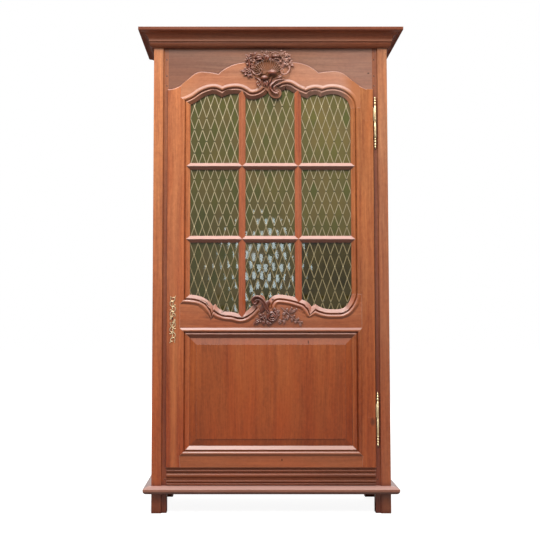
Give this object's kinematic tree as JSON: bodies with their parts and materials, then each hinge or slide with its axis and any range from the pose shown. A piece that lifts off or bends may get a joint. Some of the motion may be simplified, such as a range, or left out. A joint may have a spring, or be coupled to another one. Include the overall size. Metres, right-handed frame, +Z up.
{
  "type": "bonnetiere cabinet",
  "caption": "Tall narrow French cupboard with a coved cornice, a door with a leaded glass upper light, scroll mouldings, a carved shell crest and a raised lower panel.",
  "frame": {"origin": "on the floor, at the centre of the overall width and depth", "axes": "+Z up, the front faces -Y, +X to the viewer's right"},
  "size_m": [1.182, 0.526, 2.148],
  "materials": {
    "carcase_wood": "waxed fruitwood, satin, warm orange brown, worn at the edges",
    "door_wood": "waxed fruitwood, satin, orange brown, polished bright on the mouldings",
    "panel_wood": "waxed fruitwood with a straight grain, satin",
    "carved_wood": "carved fruitwood, dark in the hollows and polished on the high spots",
    "inner_wood": "dry unpolished softwood boards",
    "peg_wood": "end grain oak pegs",
    "antique_glass": "clear antique glass, rippled, faint olive tint",
    "lead_came": "lead came strips, dull yellow grey",
    "brass": "old brass, rubbed bright",
    "iron": "dark iron, dull"
  },
  "bodies": {
    "carcase": {"post_front_left": "carcase_wood", "post_front_right": "carcase_wood", "frieze_rail": "carcase_wood", "bottom_front_rail": "carcase_wood", "cornice_front": "carcase_wood", "cornice_left": "carcase_wood", "cornice_right": "carcase_wood", "base_moulding_front": "carcase_wood", "base_moulding_left": "carcase_wood", "base_moulding_right": "carcase_wood", "side_top_rail_left": "carcase_wood", "side_middle_rail_left": "carcase_wood", "side_bottom_rail_left": "carcase_wood", "side_top_rail_right": "carcase_wood", "side_middle_rail_right": "carcase_wood", "side_bottom_rail_right": "carcase_wood", "side_upper_panel_left": "carcase_wood", "side_lower_panel_left": "carcase_wood", "side_upper_panel_right": "carcase_wood", "side_lower_panel_right": "carcase_wood", "post_back_left": "carcase_wood", "post_back_right": "carcase_wood", "back_top_rail": "inner_wood", "back_middle_rail": "inner_wood", "back_bottom_rail": "inner_wood", "back_upper_panel": "inner_wood", "back_lower_panel": "inner_wood", "bottom_board": "inner_wood", "top_board": "inner_wood", "shelf_lower": "inner_wood", "shelf_middle": "inner_wood", "shelf_upper": "inner_wood", "cleats": "inner_wood", "frame_pegs": "peg_wood", "lock_keeper": "iron", "hinge_upper_post_half": "brass", "hinge_lower_post_half": "brass"},
    "door": {"door_stile_left": "door_wood", "door_stile_right": "door_wood", "door_top_rail": "door_wood", "door_middle_rail": "door_wood", "door_bottom_rail": "door_wood", "glazing_bar_left": "door_wood", "glazing_bar_right": "door_wood", "glazing_crossbars": "door_wood", "glass_panels": "antique_glass", "came_lattice": "lead_came", "glazing_beads": "inner_wood", "raised_panel": "panel_wood", "crest_shell": "carved_wood", "rail_carving": "carved_wood", "hinge_upper_door_half": "brass", "hinge_lower_door_half": "brass", "escutcheon": "brass", "lock_case": "iron"},
    "lock_bolt": {"lock_bolt": "iron"}
  },
  "joints": [
    {"name": "door_hinge", "type": "hinge", "parent": "carcase", "child": "door", "pos_m": [0.4705, -0.193, 0], "axis": [0, 0, 1], "range_deg": [0, 105]},
    {"name": "lock_bolt_slide", "type": "slide", "parent": "door", "child": "lock_bolt", "axis": [-1, 0, 0], "range_m": [0, 0.012]}
  ]
}
